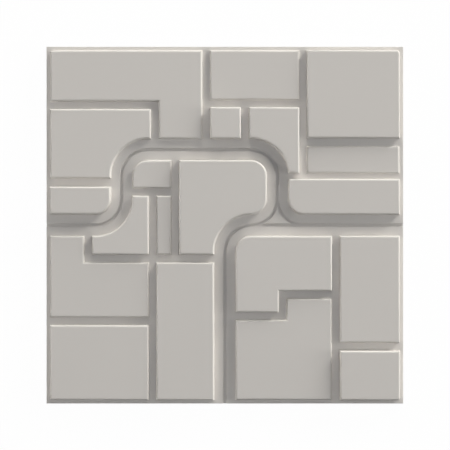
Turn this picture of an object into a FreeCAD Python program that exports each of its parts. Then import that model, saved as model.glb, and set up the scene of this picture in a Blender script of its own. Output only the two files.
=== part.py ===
import FreeCAD, Part
import os

# A square wall panel cast in gypsum plaster, in one piece.
# It lies on its flat back with the relief upwards, as it would before it is fixed to a wall.
# The origin is the middle of the back, X runs to the panel's right and Y to its top. Millimetres.

# The slab
panel_side = 500.0
floor_thickness = 10.0

# The grooves between the blocks, by width
groove_width = 11.3
fine_groove_width = 10.8
narrow_groove_width = 8.3
wide_groove_width = 12.2

# The track, a broad channel that winds between the blocks, and the slit along its middle
track_width = 30.4
bend_radius = 36.8
slit_width = 4.0
slit_depth = 4.2
left_riser_from_middle = 144.6
top_run_above_middle = 105.8

# How far each block rises above the floor
corner_ell_rise = 6.5
left_shoulder_rise = 8.0
left_tongue_rise = 15.0
crown_bar_rise = 5.5
small_square_rise = 14.7
right_shoulder_rise = 12.5
tower_block_rise = 9.9
right_bar_rise = 3.5
right_tongue_rise = 11.0
cap_block_rise = 6.0
quarter_block_rise = 11.5
slat_rise = 7.0
centre_block_rise = 13.7
notched_block_rise = 7.5
lower_left_block_rise = 9.6
long_block_rise = 11.8
stepped_block_rise = 12.3
lower_stepped_block_rise = 7.5
right_column_rise = 10.2
lower_right_block_rise = 16.5

# Rounding of the blocks' upper edges, its largest share of the lowest rise, and the relief's plan corners
edge_round = 2.6
largest_round_share = 0.9
corner_round = 4.2

# Straight stretches of a block's side between the end of a bend and the nearest groove
long_straight = 4.2
short_straight = 3.2

# Sizes of the blocks, seen from above
left_shoulder_above_track = 41.1
small_square_width = 42.8
small_square_height = 43.5
right_shoulder_tail_width = 15.1
right_shoulder_tail_above_bend_end = 3.6
right_bar_height = 37.9
quarter_block_tail_width = 23.0
slat_width = 20.4
lower_left_block_height = 104.3
lower_right_block_height = 68.9
stepped_block_width = 134.3
stepped_block_foot_width = 59.9
stepped_block_height = 76.2
step_drop = 30.1

# Places that follow from the sizes above
edge = panel_side / 2
track_half = track_width / 2
groove_half = groove_width / 2
fine_half = fine_groove_width / 2
narrow_half = narrow_groove_width / 2
wide_half = wide_groove_width / 2

# A margin of half a groove leaves a whole groove between two panels laid side by side
field_edge = edge - groove_half

# The track's centre line: it leaves at the middle of three edges, and the right riser is two bends over
left_riser_x = -left_riser_from_middle
right_riser_x = 2 * bend_radius
top_run_y = top_run_above_middle

# Ends of the bends: on the left leg, at both ends of the top run, below that run, and on the bottom leg
leg_bend_x = left_riser_x - bend_radius
run_left_bend_x = left_riser_x + bend_radius
run_right_bend_x = right_riser_x - bend_radius
run_bend_y = top_run_y - bend_radius
leg_bend_y = -bend_radius

# Centre lines of the upright grooves
shoulder_groove_x = run_left_bend_x + long_straight + groove_half
square_groove_x = run_right_bend_x - short_straight - groove_half
crown_groove_x = square_groove_x - small_square_width - groove_width
tower_groove_x = right_riser_x + track_half + right_shoulder_tail_width + fine_half
left_groove_x = left_riser_x + track_half + quarter_block_tail_width + fine_half
slat_groove_x = left_groove_x + fine_half + slat_width + groove_half
notch_groove_x = leg_bend_x - long_straight - groove_half
right_groove_x = track_half + stepped_block_width + groove_half
step_groove_x = track_half + stepped_block_foot_width + groove_half

# Centre lines of the level grooves
shoulder_groove_y = top_run_y + track_half + left_shoulder_above_track + groove_half
crown_groove_y = top_run_y + track_half + small_square_height + fine_half
tongue_groove_y = run_bend_y - short_straight - wide_half
bar_groove_y = run_bend_y + right_shoulder_tail_above_bend_end - narrow_half
tower_groove_y = bar_groove_y + narrow_half + right_bar_height + groove_half
cap_groove_y = bend_radius + long_straight + fine_half
waist_groove_y = leg_bend_y - long_straight - groove_half
lower_left_groove_y = -field_edge + lower_left_block_height + groove_half
lower_right_groove_y = -field_edge + lower_right_block_height + groove_half
step_groove_high_y = -track_half - stepped_block_height - groove_half
step_groove_low_y = step_groove_high_y - step_drop


def rectangle(left, right, low, high):
    """Flat face between two places across and two places up."""
    return Part.makePlane(right - left, high - low, FreeCAD.Vector(left, low, 0))


def upright(centre, half_width, low, high):
    """Plan of a straight channel that runs up the panel."""
    return rectangle(centre - half_width, centre + half_width, low, high)


def level(centre, half_width, left, right):
    """Plan of a straight channel that runs across the panel."""
    return rectangle(left, right, centre - half_width, centre + half_width)


def bend(centre_x, centre_y, start_angle, half_width):
    """Plan of a quarter turn of the track, counted from its start angle in degrees."""
    centre = FreeCAD.Vector(centre_x, centre_y, 0)
    upwards = FreeCAD.Vector(0, 0, 1)
    end_angle = start_angle + 90
    outer = Part.makeCircle(bend_radius + half_width, centre, upwards, start_angle, end_angle)
    inner = Part.makeCircle(bend_radius - half_width, centre, upwards, start_angle, end_angle)
    first_end = Part.makeLine(inner.valueAt(inner.FirstParameter), outer.valueAt(outer.FirstParameter))
    last_end = Part.makeLine(outer.valueAt(outer.LastParameter), inner.valueAt(inner.LastParameter))
    return Part.Face(Part.Wire([first_end, outer, last_end, inner]))


def track(half_width):
    """Plans of the stretches of the track, or of the slit along it, at a given half width."""
    return [
        level(0, half_width, -edge, leg_bend_x),
        bend(leg_bend_x, bend_radius, 270, half_width),
        upright(left_riser_x, half_width, bend_radius, run_bend_y),
        bend(run_left_bend_x, run_bend_y, 90, half_width),
        level(top_run_y, half_width, run_left_bend_x, run_right_bend_x),
        bend(run_right_bend_x, run_bend_y, 0, half_width),
        upright(right_riser_x, half_width, bend_radius, run_bend_y),
        bend(run_right_bend_x, bend_radius, 270, half_width),
        bend(right_riser_x + bend_radius, bend_radius, 180, half_width),
        level(0, half_width, run_right_bend_x, edge),
        bend(bend_radius, leg_bend_y, 90, half_width),
        upright(0, half_width, -edge, leg_bend_y),
    ]


def grooves():
    """Plans of the straight grooves between the blocks."""
    return [
        # Above the track
        level(shoulder_groove_y, groove_half, -edge, shoulder_groove_x + groove_half),
        upright(shoulder_groove_x, groove_half, top_run_y, shoulder_groove_y),
        upright(crown_groove_x, groove_half, top_run_y, edge),
        upright(square_groove_x, groove_half, top_run_y, crown_groove_y),
        level(crown_groove_y, fine_half, crown_groove_x, tower_groove_x),
        upright(tower_groove_x, fine_half, bar_groove_y, edge),
        level(tower_groove_y, groove_half, tower_groove_x, edge),
        level(bar_groove_y, narrow_half, right_riser_x, edge),
        level(tongue_groove_y, wide_half, -edge, left_riser_x),
        # Within the track's loop
        level(cap_groove_y, fine_half, left_riser_x, slat_groove_x),
        upright(slat_groove_x, groove_half, waist_groove_y, top_run_y),
        # Below the track, on the left
        upright(notch_groove_x, groove_half, waist_groove_y - groove_half, 0),
        level(waist_groove_y, groove_half, notch_groove_x, 0),
        upright(left_groove_x, fine_half, -edge, cap_groove_y),
        level(lower_left_groove_y, groove_half, -edge, left_groove_x),
        # Below the track, on the right
        upright(right_groove_x, groove_half, -edge, 0),
        level(step_groove_high_y, groove_half, step_groove_x, right_groove_x),
        upright(step_groove_x, groove_half, step_groove_low_y - groove_half, step_groove_high_y + groove_half),
        level(step_groove_low_y, groove_half, 0, step_groove_x),
        level(lower_right_groove_y, groove_half, right_groove_x, edge),
    ]


def relief_field():
    """Plan of the whole relief: a square with rounded corners, inside the margin."""
    core_edge = field_edge - corner_round
    return rectangle(-core_edge, core_edge, -core_edge, core_edge).makeOffset2D(corner_round)


def block(plans, rise, inside_x, inside_y):
    """Block of a given rise, standing on the floor on the plan that holds the given point."""
    inside = Part.Vertex(inside_x, inside_y, 0)
    plan = next(face for face in plans if face.distToShape(inside)[0] == 0)
    return plan.translated(FreeCAD.Vector(0, 0, floor_thickness)).extrude(FreeCAD.Vector(0, 0, rise))


def blocks(plans):
    """All the blocks. Each is found by a point one groove off the grooves that meet at its corner."""
    off = groove_width
    return [
        # Above the track, from the left
        block(plans, corner_ell_rise, crown_groove_x - off, shoulder_groove_y + off),
        block(plans, left_shoulder_rise, shoulder_groove_x - off, shoulder_groove_y - off),
        block(plans, left_tongue_rise, -edge + off, tongue_groove_y - off),
        block(plans, crown_bar_rise, crown_groove_x + off, crown_groove_y + off),
        block(plans, small_square_rise, crown_groove_x + off, crown_groove_y - off),
        block(plans, right_shoulder_rise, tower_groove_x - off, crown_groove_y - off),
        block(plans, tower_block_rise, tower_groove_x + off, tower_groove_y + off),
        block(plans, right_bar_rise, tower_groove_x + off, tower_groove_y - off),
        block(plans, right_tongue_rise, edge - off, bar_groove_y - off),
        # Within the track's loop
        block(plans, cap_block_rise, slat_groove_x - off, cap_groove_y + off),
        block(plans, quarter_block_rise, left_groove_x - off, waist_groove_y + off),
        block(plans, slat_rise, slat_groove_x - off, waist_groove_y + off),
        block(plans, centre_block_rise, slat_groove_x + off, waist_groove_y + off),
        # Below the track, on the left
        block(plans, notched_block_rise, left_groove_x - off, lower_left_groove_y + off),
        block(plans, lower_left_block_rise, left_groove_x - off, lower_left_groove_y - off),
        block(plans, long_block_rise, left_groove_x + off, waist_groove_y - off),
        # Below the track, on the right
        block(plans, stepped_block_rise, right_groove_x - off, step_groove_high_y + off),
        block(plans, lower_stepped_block_rise, right_groove_x - off, step_groove_high_y - off),
        block(plans, right_column_rise, right_groove_x + off, lower_right_groove_y + off),
        block(plans, lower_right_block_rise, right_groove_x + off, lower_right_groove_y - off),
    ]


def slit():
    """The narrow slit along the track's centre line, open at the panel's edges."""
    drop = FreeCAD.Vector(0, 0, floor_thickness - slit_depth)
    stretches = [plan.translated(drop).extrude(FreeCAD.Vector(0, 0, slit_depth)) for plan in track(slit_width / 2)]
    return stretches[0].multiFuse(stretches[1:]).removeSplitter()


def relief_panel():
    """The whole casting: slab, slit and blocks, with the blocks' upper edges rounded."""
    plans = relief_field().cut(track(track_half) + grooves()).Faces
    raised = blocks(plans)
    slab = Part.makeBox(panel_side, panel_side, floor_thickness, FreeCAD.Vector(-edge, -edge, 0))
    sharp = slab.cut(slit()).fuse(raised).removeSplitter().Solids[0]
    lowest_rise = min(solid.BoundBox.ZLength for solid in raised)
    upper_edges = [side for side in sharp.Edges if side.BoundBox.ZMin > floor_thickness + lowest_rise / 2]
    return sharp.makeFillet(min(edge_round, largest_round_share * lowest_rise), upper_edges).Solids[0]


os.makedirs("parts", exist_ok=True)
relief_panel().exportStep("parts/relief_panel.step")
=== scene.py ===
import logging
import math
from dataclasses import dataclass, field
from enum import Enum

import bmesh
import bpy
import numpy as np
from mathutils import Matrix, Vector
from mathutils.geometry import delaunay_2d_cdt
from numpy.typing import NDArray


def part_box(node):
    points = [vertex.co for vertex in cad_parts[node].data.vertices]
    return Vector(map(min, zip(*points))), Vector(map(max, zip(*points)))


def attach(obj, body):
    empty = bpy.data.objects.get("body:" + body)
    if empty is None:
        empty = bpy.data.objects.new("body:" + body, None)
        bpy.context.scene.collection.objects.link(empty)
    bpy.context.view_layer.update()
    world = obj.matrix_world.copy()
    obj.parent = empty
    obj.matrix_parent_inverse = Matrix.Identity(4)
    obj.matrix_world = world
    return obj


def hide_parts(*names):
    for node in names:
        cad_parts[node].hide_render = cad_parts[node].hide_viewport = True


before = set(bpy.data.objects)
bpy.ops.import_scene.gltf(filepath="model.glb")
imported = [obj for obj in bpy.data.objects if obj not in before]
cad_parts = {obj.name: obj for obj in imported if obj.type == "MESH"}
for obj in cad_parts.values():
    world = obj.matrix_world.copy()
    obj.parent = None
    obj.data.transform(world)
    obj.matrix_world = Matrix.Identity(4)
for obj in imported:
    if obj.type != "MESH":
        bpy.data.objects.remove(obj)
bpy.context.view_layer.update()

# A square wall panel cast in gypsum plaster, lying on its flat back with the relief upwards.
# Metres, in the frame's own axes: X to the panel's right, Y to its top, Z out of the relief.

NODE = "relief_panel"
LOG = logging.getLogger(NODE)

Points = NDArray[np.float64]
Outline = NDArray[np.float64]
Numbers = NDArray
Colour = tuple[float, float, float]

# Fineness of the mesh: the angle between points of an arc, the gap below which two points are one,
# and the angle from which an edge stays crisp.
ARC_STEP_DEG = 3.0
SAME_POINT = 1e-6
SHARP_DEG = 30.0

# Places on a circle, in degrees anticlockwise from its right-hand point. The last is that point again.
RIGHT, TOP, LEFT, BOTTOM, ROUND = 0, 90, 180, 270, 360
QUARTER_TURN = 90

# Blender's own numbers: the triangulation that keeps what lies inside an outline, and the Mix node's two
# inputs and its output for colours.
INSIDE_ONLY = 1
MIX_FIRST = 6
MIX_SECOND = 7
MIX_COLOUR = 2

MM_PER_METRE = 1000
WHITE = (1.0, 1.0, 1.0, 1.0)
BLACK = (0.0, 0.0, 0.0, 1.0)


class Facing(Enum):
    """The way that a flat face looks."""

    UP = 1
    DOWN = -1


def arc(centre_x: float, centre_y: float, radius: float, start: float, end: float) -> Outline:
    """Points along an arc: the centre plus the radius times (cos, sin) of evenly spaced angles.

    Args:
        centre_x: Centre across the panel.
        centre_y: Centre up the panel.
        radius: Radius of the arc.
        start: First angle, in degrees from +X.
        end: Last angle, in degrees; a smaller one than the first runs clockwise.

    Returns:
        The points, one a row.
    """
    ends = 2
    count = round(abs(end - start) / ARC_STEP_DEG) + ends
    angle = np.radians(np.linspace(start, end, count))
    return np.column_stack((centre_x + radius * np.cos(angle), centre_y + radius * np.sin(angle)))


def outline(*stretches: Outline | tuple[float, float]) -> Outline:
    """Joins corners and arcs into one closed outline.

    Args:
        *stretches: Corner points and arcs, in order round the shape, anticlockwise.

    Returns:
        The points without any that repeats the one before it.
    """
    points = np.vstack([np.atleast_2d(np.asarray(stretch, float)) for stretch in stretches])
    step = np.linalg.norm(points - np.roll(points, 1, axis=0), axis=1)
    return points[step > SAME_POINT]


def mitres(points: Outline) -> Outline:
    """Works out how each point moves when every side of an outline shifts inwards by one unit.

    The inward normals of the two sides that meet at a point are added, and divided by one plus
    their dot product.

    Args:
        points: An anticlockwise outline.

    Returns:
        One move for each point.
    """
    side = np.roll(points, -1, axis=0) - points
    side /= np.linalg.norm(side, axis=1, keepdims=True)
    normal = np.column_stack((-side[:, 1], side[:, 0]))
    before = np.roll(normal, 1, axis=0)
    return (normal + before) / (1.0 + np.sum(normal * before, axis=1, keepdims=True))


@dataclass
class Shell:
    """Surfaces gathered one by one, and welded into a single closed mesh at the end."""

    vertices: list[Points] = field(default_factory=list)
    corners: list[Numbers] = field(default_factory=list)
    sides: list[Numbers] = field(default_factory=list)
    count: int = 0

    def add(self, vertices: Points, corners: Numbers, sides: Numbers) -> None:
        """Adds one surface.

        Args:
            vertices: Points in space, one a row.
            corners: The faces' corner numbers, one face after another, from this surface's first point.
            sides: How many corners each face has.
        """
        self.vertices.append(vertices)
        self.corners.append(corners.ravel() + self.count)
        self.sides.append(sides)
        self.count += len(vertices)

    def carry(self, path: Outline, inset: Numbers, height: Numbers) -> tuple[Outline, Outline]:
        """Adds the surface that a profile sweeps along a closed outline.

        Point (k, i) lies at path point i, moved in by inset k along its mitre and raised to height k.

        Args:
            path: The anticlockwise outline that is followed.
            inset: How far in each point of the profile lies.
            height: The height of each point of the profile, from the foot upwards.

        Returns:
            The outlines at the profile's first and last points.
        """
        rings, points = len(inset), len(path)
        plan = path[None] + inset[:, None, None] * mitres(path)[None]
        level = np.broadcast_to(height[:, None, None], (rings, points, 1))
        first = np.arange(rings - 1)[:, None] * points + np.arange(points)
        ahead = np.roll(first, -1, axis=1)
        quads = np.stack((first, ahead, ahead + points, first + points), axis=-1)
        self.add(np.concatenate((plan, level), axis=2).reshape(-1, 3), quads, np.full(first.size, 4))
        return plan[0], plan[-1]

    def cap(self, path: Outline, height: float, facing: Facing) -> None:
        """Closes an outline with one flat face.

        Args:
            path: The anticlockwise outline.
            height: Height of the face.
            facing: The way that the face looks.
        """
        ring = np.arange(len(path))
        level = np.full((len(path), 1), height)
        self.add(np.hstack((path, level)), ring[::facing.value], np.array([len(path)]))

    def sheet(self, outer: Outline, holes: list[Outline], height: float) -> None:
        """Adds a flat sheet inside one outline and outside some others.

        The sheet is the constrained triangulation of all the outlines, without the triangles that
        lie in a hole, which are those that more than one outline holds.

        Args:
            outer: The sheet's own outline.
            holes: Outlines of what stands or sinks in it.
            height: Height of the sheet.
        """
        rings = [outer, *holes]
        ends = np.cumsum([0] + [len(ring) for ring in rings])
        loops = [list(range(start, end)) for start, end in zip(ends[:-1], ends[1:])]
        flat = list(map(Vector, np.vstack(rings)))
        placed, _, triangles, _, _, owners = delaunay_2d_cdt(flat, [], loops, INSIDE_ONLY, SAME_POINT)
        plan = np.array(placed)
        clear = np.fromiter(map(len, owners), int) == 1
        kept = np.array(triangles)[clear]
        self.add(np.column_stack((plan, np.full(len(plan), height))), kept, np.full(len(kept), 3))

    def mesh(self, name: str) -> bpy.types.Mesh:
        """Welds the surfaces into one mesh, smooth but for its sharp edges.

        Args:
            name: Name of the mesh.

        Returns:
            The finished mesh.
        """
        corners, sides = np.concatenate(self.corners), np.concatenate(self.sides)
        mesh = bpy.data.meshes.new(name)
        mesh.vertices.add(self.count)
        mesh.vertices.foreach_set("co", np.vstack(self.vertices).ravel())
        mesh.loops.add(len(corners))
        mesh.loops.foreach_set("vertex_index", corners)
        mesh.polygons.add(len(sides))
        mesh.polygons.foreach_set("loop_start", np.cumsum(sides) - sides)
        mesh.update(calc_edges=True)
        working = bmesh.new()
        working.from_mesh(mesh)
        bmesh.ops.remove_doubles(working, verts=working.verts, dist=SAME_POINT)
        working.to_mesh(mesh)
        working.free()
        mesh.shade_smooth()
        mesh.set_sharp_from_angle(angle=math.radians(SHARP_DEG))
        return mesh


@dataclass(frozen=True)
class Groove:
    """A straight channel: the place of its centre line and its width."""

    centre: float
    width: float

    @property
    def low(self) -> float:
        """The left or lower side."""
        return self.centre - self.width / 2

    @property
    def high(self) -> float:
        """The right or upper side."""
        return self.centre + self.width / 2


@dataclass(frozen=True)
class Block:
    """A flat-topped block of the relief: its name, its rise above the floor and its wall's outline."""

    name: str
    rise: float
    wall: Outline


@dataclass(frozen=True)
class Island:
    """A stretch of the floor that the slit cuts off from the rest, with the blocks that stand on it."""

    outline: Outline
    blocks: list[Block]


@dataclass
class ReliefPlan:
    """The relief seen from above: track, slit, grooves and blocks, with the sizes that the solid has.

    The edge is half the panel's side. The left riser and the top run are the centre lines of the track's
    upright stretch on the left and of its level stretch at the top.
    """

    edge: float
    groove: float = 0.0113
    fine_groove: float = 0.0108
    narrow_groove: float = 0.0083
    wide_groove: float = 0.0122
    track: float = 0.0304
    slit: float = 0.0040
    bend: float = 0.0368
    left_riser: float = -0.1446
    top_run: float = 0.1058
    corner_round: float = 0.0042
    long_straight: float = 0.0042
    short_straight: float = 0.0032
    left_shoulder_above_track: float = 0.0411
    small_square_width: float = 0.0428
    small_square_height: float = 0.0435
    right_shoulder_tail: float = 0.0151
    right_shoulder_above_bend: float = 0.0036
    right_bar_height: float = 0.0379
    quarter_block_tail: float = 0.0230
    slat_width: float = 0.0204
    lower_left_height: float = 0.1043
    lower_right_height: float = 0.0689
    stepped_width: float = 0.1343
    stepped_foot: float = 0.0599
    stepped_height: float = 0.0762
    step_drop: float = 0.0301
    corner_ell_rise: float = 0.0065
    left_shoulder_rise: float = 0.0080
    left_tongue_rise: float = 0.0150
    crown_bar_rise: float = 0.0055
    small_square_rise: float = 0.0147
    right_shoulder_rise: float = 0.0125
    tower_block_rise: float = 0.0099
    right_bar_rise: float = 0.0035
    right_tongue_rise: float = 0.0110
    cap_block_rise: float = 0.0060
    quarter_block_rise: float = 0.0115
    slat_rise: float = 0.0070
    centre_block_rise: float = 0.0137
    notched_block_rise: float = 0.0075
    lower_left_block_rise: float = 0.0096
    long_block_rise: float = 0.0118
    stepped_block_rise: float = 0.0123
    lower_stepped_block_rise: float = 0.0075
    right_column_rise: float = 0.0102
    lower_right_block_rise: float = 0.0165

    def __post_init__(self) -> None:
        """Places the bends and the grooves from the sizes.

        The track's legs lie on the panel's level middle line, and its branch on the upright one. The
        right riser is two bends further right, so an S of two quarter circles leads from the branch to it.
        """
        half, bend = self.track / 2, self.bend
        self.far = self.edge - self.groove / 2
        self.right_riser = 2 * bend
        self.leg_bend_x = self.left_riser - bend
        self.run_left_x = self.left_riser + bend
        self.run_right_x = self.right_riser - bend
        self.run_bend_y = self.top_run - bend
        self.track_half = half
        self.place_upright_grooves()
        self.place_level_grooves()

    def place_upright_grooves(self) -> None:
        """Sets the grooves that run up the panel, each beside the bend or block that it follows."""
        half, plain, fine = self.track_half, self.groove, self.fine_groove
        self.shoulder_x = Groove(self.run_left_x + self.long_straight + plain / 2, plain)
        self.square_x = Groove(self.run_right_x - self.short_straight - plain / 2, plain)
        self.crown_x = Groove(self.square_x.low - self.small_square_width - plain / 2, plain)
        self.tower_x = Groove(self.right_riser + half + self.right_shoulder_tail + fine / 2, fine)
        self.left_x = Groove(self.left_riser + half + self.quarter_block_tail + fine / 2, fine)
        self.slat_x = Groove(self.left_x.high + self.slat_width + plain / 2, plain)
        self.notch_x = Groove(self.leg_bend_x - self.long_straight - plain / 2, plain)
        self.right_x = Groove(half + self.stepped_width + plain / 2, plain)
        self.step_x = Groove(half + self.stepped_foot + plain / 2, plain)

    def place_level_grooves(self) -> None:
        """Sets the grooves that run across the panel, each beside the bend or block that it follows."""
        half, plain, fine = self.track_half, self.groove, self.fine_groove
        narrow, wide = self.narrow_groove, self.wide_groove
        above = self.top_run + half
        self.shoulder_y = Groove(above + self.left_shoulder_above_track + plain / 2, plain)
        self.crown_y = Groove(above + self.small_square_height + fine / 2, fine)
        self.tongue_y = Groove(self.run_bend_y - self.short_straight - wide / 2, wide)
        self.bar_y = Groove(self.run_bend_y + self.right_shoulder_above_bend - narrow / 2, narrow)
        self.tower_y = Groove(self.bar_y.high + self.right_bar_height + plain / 2, plain)
        self.cap_y = Groove(self.bend + self.long_straight + fine / 2, fine)
        self.waist_y = Groove(-self.bend - self.long_straight - plain / 2, plain)
        self.lower_left_y = Groove(-self.far + self.lower_left_height + plain / 2, plain)
        self.lower_right_y = Groove(-self.far + self.lower_right_height + plain / 2, plain)
        self.step_high_y = Groove(-half - self.stepped_height - plain / 2, plain)
        self.step_low_y = Groove(self.step_high_y.centre - self.step_drop, plain)

    def corner(self, across: int, up: int) -> Outline:
        """Rounded corner of the relief: an arc of the corner radius, anticlockwise.

        Args:
            across: 1 for the right side, -1 for the left.
            up: 1 for the top, -1 for the bottom.

        Returns:
            The arc's points.
        """
        inside = self.far - self.corner_round
        start = math.degrees(math.atan2(up, across)) - QUARTER_TURN / 2
        return arc(across * inside, up * inside, self.corner_round, start, start + QUARTER_TURN)

    def blocks_above_track(self) -> list[Block]:
        """Blocks between the track and the panel's top and right edges.

        Returns:
            The blocks, from the top left to the right.
        """
        half, bend, far = self.track_half, self.bend, self.far
        above = self.top_run + half
        outer, inner = bend + half, bend - half
        riser_left, riser_right = self.left_riser - half, self.right_riser + half
        tail_angle = math.degrees(math.asin(self.right_shoulder_above_bend / outer))
        return [
            Block("corner_ell", self.corner_ell_rise, outline(
                (-far, self.shoulder_y.high), (self.shoulder_x.high, self.shoulder_y.high),
                (self.shoulder_x.high, above), (self.crown_x.low, above),
                (self.crown_x.low, far), self.corner(-1, 1))),
            Block("left_shoulder", self.left_shoulder_rise, outline(
                (-far, self.tongue_y.high), (riser_left, self.tongue_y.high),
                arc(self.run_left_x, self.run_bend_y, outer, LEFT, TOP),
                (self.shoulder_x.low, above), (self.shoulder_x.low, self.shoulder_y.low),
                (-far, self.shoulder_y.low))),
            Block("left_tongue", self.left_tongue_rise, outline(
                (-far, half), arc(self.leg_bend_x, bend, inner, BOTTOM, ROUND),
                (riser_left, self.tongue_y.low), (-far, self.tongue_y.low))),
            Block("crown_bar", self.crown_bar_rise, outline(
                (self.crown_x.high, self.crown_y.high), (self.tower_x.low, self.crown_y.high),
                (self.tower_x.low, far), (self.crown_x.high, far))),
            Block("small_square", self.small_square_rise, outline(
                (self.crown_x.high, above), (self.square_x.low, above),
                (self.square_x.low, self.crown_y.low), (self.crown_x.high, self.crown_y.low))),
            Block("right_shoulder", self.right_shoulder_rise, outline(
                (self.square_x.high, above),
                arc(self.run_right_x, self.run_bend_y, outer, TOP, tail_angle),
                (self.tower_x.low, self.bar_y.high), (self.tower_x.low, self.crown_y.low),
                (self.square_x.high, self.crown_y.low))),
            Block("tower_block", self.tower_block_rise, outline(
                (self.tower_x.high, self.tower_y.high), (far, self.tower_y.high),
                self.corner(1, 1), (self.tower_x.high, far))),
            Block("right_bar", self.right_bar_rise, outline(
                (self.tower_x.high, self.bar_y.high), (far, self.bar_y.high),
                (far, self.tower_y.low), (self.tower_x.high, self.tower_y.low))),
            Block("right_tongue", self.right_tongue_rise, outline(
                arc(self.right_riser + bend, bend, inner, LEFT, BOTTOM), (far, half),
                (far, self.bar_y.low), (riser_right, self.bar_y.low))),
        ]

    def blocks_left_of_track(self) -> list[Block]:
        """Blocks inside the track's loop and on the panel's lower left.

        Returns:
            The blocks, from the loop's top to the bottom.
        """
        half, bend, far = self.track_half, self.bend, self.far
        below = self.top_run - half
        outer, inner = bend + half, bend - half
        riser_right = self.left_riser + half
        return [
            Block("cap_block", self.cap_block_rise, outline(
                (riser_right, self.cap_y.high), (self.slat_x.low, self.cap_y.high),
                (self.slat_x.low, below), arc(self.run_left_x, self.run_bend_y, inner, TOP, LEFT))),
            Block("quarter_block", self.quarter_block_rise, outline(
                (self.notch_x.high, self.waist_y.high), (self.left_x.low, self.waist_y.high),
                (self.left_x.low, self.cap_y.low), (riser_right, self.cap_y.low),
                arc(self.leg_bend_x, bend, outer, ROUND, BOTTOM), (self.notch_x.high, -half))),
            Block("slat", self.slat_rise, outline(
                (self.left_x.high, self.waist_y.high), (self.slat_x.low, self.waist_y.high),
                (self.slat_x.low, self.cap_y.low), (self.left_x.high, self.cap_y.low))),
            Block("centre_block", self.centre_block_rise, outline(
                (self.slat_x.high, self.waist_y.high), (-half, self.waist_y.high),
                arc(bend, -bend, outer, LEFT, TOP), arc(self.run_right_x, bend, inner, BOTTOM, ROUND),
                arc(self.run_right_x, self.run_bend_y, inner, RIGHT, TOP), (self.slat_x.high, below))),
            Block("notched_block", self.notched_block_rise, outline(
                (-far, self.lower_left_y.high), (self.left_x.low, self.lower_left_y.high),
                (self.left_x.low, self.waist_y.low), (self.notch_x.low, self.waist_y.low),
                (self.notch_x.low, -half), (-far, -half))),
            Block("lower_left_block", self.lower_left_block_rise, outline(
                self.corner(-1, -1), (self.left_x.low, -far),
                (self.left_x.low, self.lower_left_y.low), (-far, self.lower_left_y.low))),
            Block("long_block", self.long_block_rise, outline(
                (self.left_x.high, -far), (-half, -far),
                (-half, self.waist_y.low), (self.left_x.high, self.waist_y.low))),
        ]

    def blocks_right_of_track(self) -> list[Block]:
        """Blocks on the panel's lower right.

        Returns:
            The blocks, from the branch of the track to the right.
        """
        half, bend, far = self.track_half, self.bend, self.far
        return [
            Block("stepped_block", self.stepped_block_rise, outline(
                (half, self.step_low_y.high), (self.step_x.low, self.step_low_y.high),
                (self.step_x.low, self.step_high_y.high), (self.right_x.low, self.step_high_y.high),
                (self.right_x.low, -half), arc(bend, -bend, bend - half, TOP, LEFT))),
            Block("lower_stepped_block", self.lower_stepped_block_rise, outline(
                (half, -far), (self.right_x.low, -far),
                (self.right_x.low, self.step_high_y.low), (self.step_x.high, self.step_high_y.low),
                (self.step_x.high, self.step_low_y.low), (half, self.step_low_y.low))),
            Block("right_column", self.right_column_rise, outline(
                (self.right_x.high, self.lower_right_y.high), (far, self.lower_right_y.high),
                (far, -half), (self.right_x.high, -half))),
            Block("lower_right_block", self.lower_right_block_rise, outline(
                (self.right_x.high, -far), self.corner(1, -1),
                (far, self.lower_right_y.low), (self.right_x.high, self.lower_right_y.low))),
        ]

    def islands(self) -> list[Island]:
        """Stretches of floor that the slit parts: above it, left of it, right of it, and in its fork.

        Returns:
            The stretches, each with the blocks that stand on it.
        """
        edge, bend, slit = self.edge, self.bend, self.slit / 2
        wide, tight = bend + slit, bend - slit
        above = outline(
            (-edge, slit), arc(self.leg_bend_x, bend, tight, BOTTOM, ROUND),
            arc(self.run_left_x, self.run_bend_y, wide, LEFT, TOP),
            arc(self.run_right_x, self.run_bend_y, wide, TOP, RIGHT),
            arc(self.right_riser + bend, bend, tight, LEFT, BOTTOM), (edge, slit),
            (edge, edge), (-edge, edge))
        left = outline(
            (-edge, -edge), (-slit, -edge), arc(bend, -bend, wide, LEFT, TOP),
            arc(self.run_right_x, bend, tight, BOTTOM, ROUND),
            arc(self.run_right_x, self.run_bend_y, tight, RIGHT, TOP),
            arc(self.run_left_x, self.run_bend_y, tight, TOP, LEFT),
            arc(self.leg_bend_x, bend, wide, ROUND, BOTTOM), (-edge, -slit))
        right = outline(
            (slit, -edge), (edge, -edge), (edge, -slit), arc(bend, -bend, tight, TOP, LEFT))
        return [
            Island(above, self.blocks_above_track()),
            Island(left, self.blocks_left_of_track()),
            Island(right, self.blocks_right_of_track()),
            Island(self.fork(), []),
        ]

    def fork(self) -> Outline:
        """The three-sided stretch of floor in the fork of the slit.

        Its upper sides are the outer arcs of the two bends, which cross above the fork, and its
        lower side is the straight run below them. The second arc mirrors the first in an upright
        line, so its angles are those of the first taken from a turn and a half.

        Returns:
            Its outline.
        """
        bend, slit = self.bend, self.slit / 2
        wide = bend + slit
        foot = BOTTOM - math.degrees(math.acos((bend - slit) / wide))
        crossing = LEFT + math.degrees(math.acos(bend / wide))
        mirror = ROUND + LEFT
        return outline(
            arc(self.right_riser + bend, bend, wide, foot, crossing),
            arc(self.run_right_x, bend, wide, mirror - crossing, mirror - foot))


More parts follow.
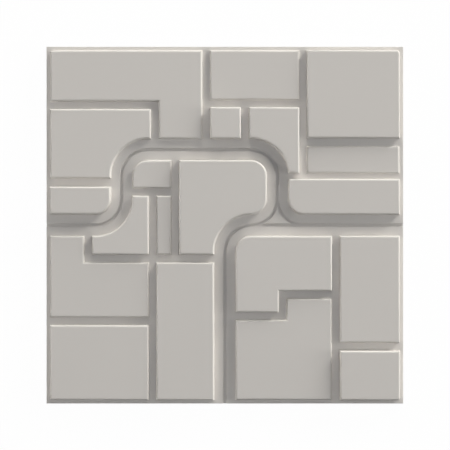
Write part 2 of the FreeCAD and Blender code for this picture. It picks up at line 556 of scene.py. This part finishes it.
@dataclass(frozen=True)
class NodeBench:
    """Places nodes in a node tree and wires them up."""

    tree: bpy.types.NodeTree

    def place(self, kind: str, inputs: dict[str | int, object], **settings: object) -> bpy.types.Node:
        """Places one node.

        Args:
            kind: The node's type.
            inputs: What each input takes: a value, or another node's output.
            **settings: Options of the node itself.

        Returns:
            The node.
        """
        node = self.tree.nodes.new(kind)
        for name, value in settings.items():
            setattr(node, name, value)
        for socket, value in inputs.items():
            if isinstance(value, bpy.types.NodeSocket):
                self.tree.links.new(value, node.inputs[socket])
            else:
                node.inputs[socket].default_value = value
        return node


@dataclass(frozen=True)
class PlasterFinish:
    """Matt cast gypsum plaster in a warm grey: faint clouds of tone, fine grain, air pores darkened with
    painted shade.
    """

    name: str = "cast_plaster"
    pale: Colour = (0.739, 0.707, 0.667)
    deep: Colour = (0.725, 0.693, 0.653)
    cloud_size: float = 0.060
    noise_detail: float = 3.0
    grain_size: float = 0.0006
    grain_depth: float = 0.000008
    grain_in_tone: float = 0.25
    smoothest: float = 0.78
    roughest: float = 0.92
    pore_spacing: float = 0.007
    pore_radius: float = 0.0003
    pore_depth: float = 0.00015
    pore_painted_shade: float = 0.30
    specular: float = 0.30

    def material(self) -> bpy.types.Material:
        """Makes the material: tone, roughness and relief, each from the same grain and pores.

        Returns:
            The material.
        """
        material = bpy.data.materials.new(self.name)
        material.use_nodes = True
        bench = NodeBench(material.node_tree)
        position = bench.place("ShaderNodeTexCoord", {}).outputs["Object"]
        grain = self.noise(bench, position, self.grain_size)
        pores = self.pores(bench, position)
        shader = material.node_tree.nodes["Principled BSDF"]
        shader.inputs["Specular IOR Level"].default_value = self.specular
        links = material.node_tree.links
        links.new(self.tone(bench, position, grain, pores), shader.inputs["Base Color"])
        links.new(self.roughness(bench, grain), shader.inputs["Roughness"])
        links.new(self.relief(bench, grain, pores), shader.inputs["Normal"])
        return material

    def noise(self, bench: NodeBench, position: bpy.types.NodeSocket,
              size: float) -> bpy.types.NodeSocket:
        """Soft noise from 0 to 1.

        Args:
            bench: Where the nodes go.
            position: Coordinates on the piece.
            size: Size of the noise's features.

        Returns:
            The noise.
        """
        return bench.place("ShaderNodeTexNoise", {
            "Vector": position, "Scale": 1 / size, "Detail": self.noise_detail}).outputs[0]

    def pores(self, bench: NodeBench, position: bpy.types.NodeSocket) -> bpy.types.NodeSocket:
        """Mask of the air pores: 1 at the middle of a pore, 0 from its rim on.

        Args:
            bench: Where the nodes go.
            position: Coordinates on the piece.

        Returns:
            The mask.
        """
        cells = bench.place("ShaderNodeTexVoronoi", {"Vector": position, "Scale": 1 / self.pore_spacing})
        return bench.place("ShaderNodeMapRange", {
            "Value": cells.outputs["Distance"], "From Min": 0.0,
            "From Max": self.pore_radius / self.pore_spacing,
            "To Min": 1.0, "To Max": 0.0}, interpolation_type="SMOOTHSTEP").outputs[0]

    def tone(self, bench: NodeBench, position: bpy.types.NodeSocket, grain: bpy.types.NodeSocket,
             pores: bpy.types.NodeSocket) -> bpy.types.NodeSocket:
        """Colour: clouds and grain mix the two tones, and the pores are darkened with painted shade.

        Args:
            bench: Where the nodes go.
            position: Coordinates on the piece.
            grain: The fine noise.
            pores: The pores' mask.

        Returns:
            The colour.
        """
        cloud = self.noise(bench, position, self.cloud_size)
        share = bench.place("ShaderNodeMix", {
            "Factor": self.grain_in_tone, "A": cloud, "B": grain}).outputs[0]
        plain = bench.place("ShaderNodeMix", {
            "Factor": share, MIX_FIRST: (*self.deep, 1.0), MIX_SECOND: (*self.pale, 1.0)},
            data_type="RGBA").outputs[MIX_COLOUR]
        # Painted shade: each pore is darkened towards black at its middle, standing in for the shade in
        # its hollow.
        painted_shade = bench.place("ShaderNodeMath", {
            0: pores, 1: self.pore_painted_shade}, operation="MULTIPLY").outputs[0]
        return bench.place("ShaderNodeMix", {
            "Factor": painted_shade, MIX_FIRST: plain, MIX_SECOND: BLACK},
            data_type="RGBA").outputs[MIX_COLOUR]

    def roughness(self, bench: NodeBench, grain: bpy.types.NodeSocket) -> bpy.types.NodeSocket:
        """Roughness: the grain takes it from the smoothest to the roughest.

        Args:
            bench: Where the nodes go.
            grain: The fine noise.

        Returns:
            The roughness.
        """
        return bench.place("ShaderNodeMapRange", {
            "Value": grain, "To Min": self.smoothest, "To Max": self.roughest}).outputs[0]

    def relief(self, bench: NodeBench, grain: bpy.types.NodeSocket,
               pores: bpy.types.NodeSocket) -> bpy.types.NodeSocket:
        """Normal: fine grain, with the pores sunk into it.

        Args:
            bench: Where the nodes go.
            grain: The fine noise.
            pores: The pores' mask.

        Returns:
            The normal.
        """
        sunk = bench.place("ShaderNodeMath", {
            0: pores, 1: -self.pore_depth / self.grain_depth, 2: grain},
            operation="MULTIPLY_ADD").outputs[0]
        return bench.place("ShaderNodeBump", {
            "Height": sunk, "Distance": self.grain_depth}).outputs["Normal"]


@dataclass
class CastPanel:
    """The casting: slab, slit and blocks as one closed shell with rounded edges.

    The cove is the hollow at a wall's foot, and the arris is the round on the slit's edges. A support
    is the narrow strip beside a round or a hollow that keeps the shading of the flat face there even.
    """

    plan: ReliefPlan
    finish: PlasterFinish = PlasterFinish()
    floor: float = 0.0100
    slit_depth: float = 0.0042
    edge_round: float = 0.0026
    foot_cove: float = 0.0012
    arris: float = 0.0006
    round_steps: int = 8
    cove_steps: int = 4
    support: float = 0.0008

    def rounded(self, top: float, radius: float) -> tuple[Numbers, Numbers]:
        """Profile of a rounded upper edge, from the wall to the top.

        It is a quarter circle: inset r (1 - cos a), height top - r (1 - sin a).

        Args:
            top: Height of the top.
            radius: Radius of the round.

        Returns:
            Insets and heights of the profile's points.
        """
        angle = np.linspace(0, np.pi / 2, self.round_steps + 1)
        return radius * (1 - np.cos(angle)), top - radius * (1 - np.sin(angle))

    def coved(self, foot: float, radius: float) -> tuple[Numbers, Numbers]:
        """Profile of the hollow at a wall's foot, from the floor to the wall.

        It is a quarter circle: inset -r (1 - sin a), height foot + r (1 - cos a).

        Args:
            foot: Height of the floor.
            radius: Radius of the hollow.

        Returns:
            Insets and heights of the profile's points.
        """
        angle = np.linspace(0, np.pi / 2, self.cove_steps + 1)
        return -radius * (1 - np.sin(angle)), foot + radius * (1 - np.cos(angle))

    def build(self, name: str) -> bpy.types.Object:
        """Builds the shell.

        Args:
            name: Name of the piece.

        Returns:
            The piece, linked to the scene.
        """
        shell = Shell()
        sunk = self.floor - self.slit_depth
        islands = self.plan.islands()
        for island in islands:
            self.add_island(shell, island, sunk)
        square = self.slab_outline()
        shell.sheet(square, [island.outline for island in islands], sunk)
        shell.carry(square, np.zeros(2), np.array([0.0, sunk]))
        shell.cap(square, 0.0, Facing.DOWN)
        piece = bpy.data.objects.new(name, shell.mesh(name))
        bpy.context.scene.collection.objects.link(piece)
        return piece

    def dress(self, piece: bpy.types.Object) -> None:
        """Gives the built piece its plaster, and puts it on the body in the solid's stead.

        Args:
            piece: The built piece.
        """
        piece.data.materials.append(self.finish.material())
        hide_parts(NODE)
        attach(piece, "root")

    def add_island(self, shell: Shell, island: Island, sunk: float) -> None:
        """Adds a stretch of the floor, its edges down to the slit, and its blocks.

        Args:
            shell: Where the surfaces go.
            island: The stretch of floor.
            sunk: Height of the slit's floor.
        """
        inset, height = self.rounded(self.floor, self.arris)
        _, rim = shell.carry(island.outline, np.append(0.0, inset), np.append(sunk, height))
        feet = [self.add_block(shell, block) for block in island.blocks]
        shell.sheet(rim, feet, self.floor)

    def add_block(self, shell: Shell, block: Block) -> Outline:
        """Adds a block's foot, wall, rounded edge and flat top.

        Args:
            shell: Where the surfaces go.
            block: The block.

        Returns:
            The outline where its foot meets the floor.
        """
        top = self.floor + block.rise
        cove = min(self.foot_cove, block.rise - self.edge_round - self.support / 2)
        foot_inset, foot_height = self.coved(self.floor, cove)
        edge_inset, edge_height = self.rounded(top, self.edge_round)
        inset = np.concatenate((
            [-cove - self.support], foot_inset, edge_inset, [self.edge_round + self.support]))
        height = np.concatenate(([self.floor], foot_height, edge_height, [top]))
        foot, rim = shell.carry(block.wall, inset, height)
        shell.cap(rim, top, Facing.UP)
        LOG.debug("%s rises %.1f mm", block.name, block.rise * MM_PER_METRE)
        return foot

    def slab_outline(self) -> Outline:
        """The slab's outline, with a point at each side of the slit where it meets an edge.

        Returns:
            The outline.
        """
        edge, slit = self.plan.edge, self.plan.slit / 2
        return outline(
            (-edge, -edge), (-slit, -edge), (slit, -edge), (edge, -edge),
            (edge, -slit), (edge, slit), (edge, edge), (-edge, edge),
            (-edge, slit), (-edge, -slit))


class Tint(Enum):
    """Colours of the lamps' light."""

    CLEAR = (0.99, 1.0, 0.99)
    WARM = (1.0, 0.97, 0.92)
    COOL = (0.87, 0.915, 1.0)


@dataclass(frozen=True)
class SoftLamp:
    """A round soft lamp that faces the panel's middle.

    Its azimuth is measured anticlockwise from the panel's right, and its elevation from the floor. Its
    width is the angle that it fills, seen from the panel.
    """

    name: str
    azimuth_deg: float
    elevation_deg: float
    strength: float
    tint: Tint
    distance: float = 6.0
    width_deg: float = 20.0

    def hang(self) -> None:
        """Hangs the lamp, with the power that gives a white sheet facing it the strength as brightness.

        The power is the strength times a square: that of pi times the distance, divided by the cosine
        of half the width.
        """
        half = math.radians(self.width_deg) / 2
        lamp = bpy.data.lights.new(self.name, "AREA")
        lamp.shape = "DISK"
        lamp.size = 2 * self.distance * math.tan(half)
        lamp.energy = self.strength * (math.pi * self.distance / math.cos(half)) ** 2
        lamp.color = self.tint.value
        hung = bpy.data.objects.new(self.name, lamp)
        azimuth, elevation = math.radians(self.azimuth_deg), math.radians(self.elevation_deg)
        flat = self.distance * math.cos(elevation)
        hung.location = (
            flat * math.cos(azimuth), flat * math.sin(azimuth), self.distance * math.sin(elevation))
        hung.rotation_euler = (0, math.pi / 2 - elevation, azimuth)
        hung.visible_camera = False
        bpy.context.scene.collection.objects.link(hung)


# Each lamp's name, azimuth, elevation, strength and tint: a low ring, a higher one, and two above it.
LAMPS = (
    SoftLamp("right_low", 0, 8, 0.34, Tint.CLEAR, distance=12.0),
    SoftLamp("corner_low", 45, 8, 0.35, Tint.CLEAR, distance=20.0),
    SoftLamp("top_low", 90, 8, 0.21, Tint.CLEAR, distance=8.0),
    SoftLamp("top_left_low", 135, 8, 0.08, Tint.WARM, distance=20.0),
    SoftLamp("left_low", 180, 8, 0.24, Tint.WARM),
    SoftLamp("bottom_left_low", 225, 8, 0.18, Tint.WARM, distance=20.0),
    SoftLamp("right", 0, 20, 0.16, Tint.WARM, distance=20.0),
    SoftLamp("corner", 45, 20, 0.47, Tint.WARM, distance=10.0),
    SoftLamp("top", 90, 20, 0.18, Tint.WARM),
    SoftLamp("left", 180, 20, 0.05, Tint.WARM),
    SoftLamp("corner_high", 45, 45, 0.02, Tint.CLEAR, distance=20.0),
    SoftLamp("overhead", 0, 90, 0.20, Tint.COOL),
)


@dataclass(frozen=True)
class FloorFinish:
    """A matt floor with a glow that only the camera sees, which keeps it pale and its shadows faint."""

    name: str = "studio_floor"
    grey: float = 0.03
    glow: float = 0.974

    def material(self) -> bpy.types.Material:
        """Makes the material.

        Returns:
            The material.
        """
        material = bpy.data.materials.new(self.name)
        material.use_nodes = True
        shader = material.node_tree.nodes["Principled BSDF"]
        shader.inputs["Base Color"].default_value = (self.grey, self.grey, self.grey, 1.0)
        shader.inputs["Roughness"].default_value = 1.0
        shader.inputs["Specular IOR Level"].default_value = 0.0
        shader.inputs["Emission Color"].default_value = WHITE
        bench = NodeBench(material.node_tree)
        seen = bench.place("ShaderNodeLightPath", {}).outputs["Is Camera Ray"]
        glow = bench.place("ShaderNodeMath", {0: seen, 1: self.glow}, operation="MULTIPLY").outputs[0]
        material.node_tree.links.new(glow, shader.inputs["Emission Strength"])
        return material


@dataclass(frozen=True)
class Studio:
    """A pale floor, soft light from the upper right and a camera straight above.

    The dome is the strength of the even surround. The camera takes in the view's width at the view's
    level, which is that of the relief's floor.
    """

    lamps: tuple[SoftLamp, ...] = LAMPS
    dome: float = 0.006
    floor_finish: FloorFinish = FloorFinish()
    floor_reach: float = 3.0
    camera_across: float = 0.0002
    camera_up: float = 0.0002
    camera_height: float = 2.650
    view_width: float = 0.6307
    view_level: float = 0.010
    sensor_mm: float = 36.0

    def lay_floor(self) -> None:
        """Lays the floor, one flat square."""
        reach = self.floor_reach
        square = [(-reach, -reach, 0), (reach, -reach, 0), (reach, reach, 0), (-reach, reach, 0)]
        mesh = bpy.data.meshes.new(self.floor_finish.name)
        mesh.from_pydata(square, [], [(0, 1, 2, 3)])
        mesh.materials.append(self.floor_finish.material())
        floor = bpy.data.objects.new(self.floor_finish.name, mesh)
        bpy.context.scene.collection.objects.link(floor)

    def hang_lamps(self) -> None:
        """Hangs the lamps in an even, dim surround, which itself shows as plain white."""
        world = bpy.data.worlds.new("studio_world")
        world.use_nodes = True
        bench = NodeBench(world.node_tree)
        seen = bench.place("ShaderNodeLightPath", {}).outputs["Is Camera Ray"]
        even = bench.place("ShaderNodeBackground", {"Color": WHITE, "Strength": self.dome}).outputs[0]
        white = bench.place("ShaderNodeBackground", {"Color": WHITE}).outputs[0]
        surround = bench.place("ShaderNodeMixShader", {0: seen, 1: even, 2: white}).outputs[0]
        world.node_tree.links.new(surround, world.node_tree.nodes["World Output"].inputs["Surface"])
        bpy.context.scene.world = world
        for lamp in self.lamps:
            lamp.hang()

    def hang_camera(self) -> None:
        """Hangs the camera above the panel, looking straight down."""
        lens = bpy.data.cameras.new("camera")
        lens.sensor_width = self.sensor_mm
        lens.lens = self.sensor_mm * (self.camera_height - self.view_level) / self.view_width
        camera = bpy.data.objects.new("camera", lens)
        camera.location = (self.camera_across, self.camera_up, self.camera_height)
        bpy.context.scene.collection.objects.link(camera)
        bpy.context.scene.camera = camera
        bpy.context.scene.view_settings.view_transform = "Standard"


def main() -> None:
    """Builds the panel, dresses it and sets it in the studio."""
    logging.basicConfig(level=logging.INFO, format="%(name)s: %(message)s")
    _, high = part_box(NODE)
    panel = CastPanel(ReliefPlan(edge=high.x))
    piece = panel.build("cast_panel")
    panel.dress(piece)
    LOG.info("%s: %d faces", piece.name, len(piece.data.polygons))
    studio = Studio()
    studio.lay_floor()
    studio.hang_lamps()
    studio.hang_camera()


if __name__ == "__main__":
    main()
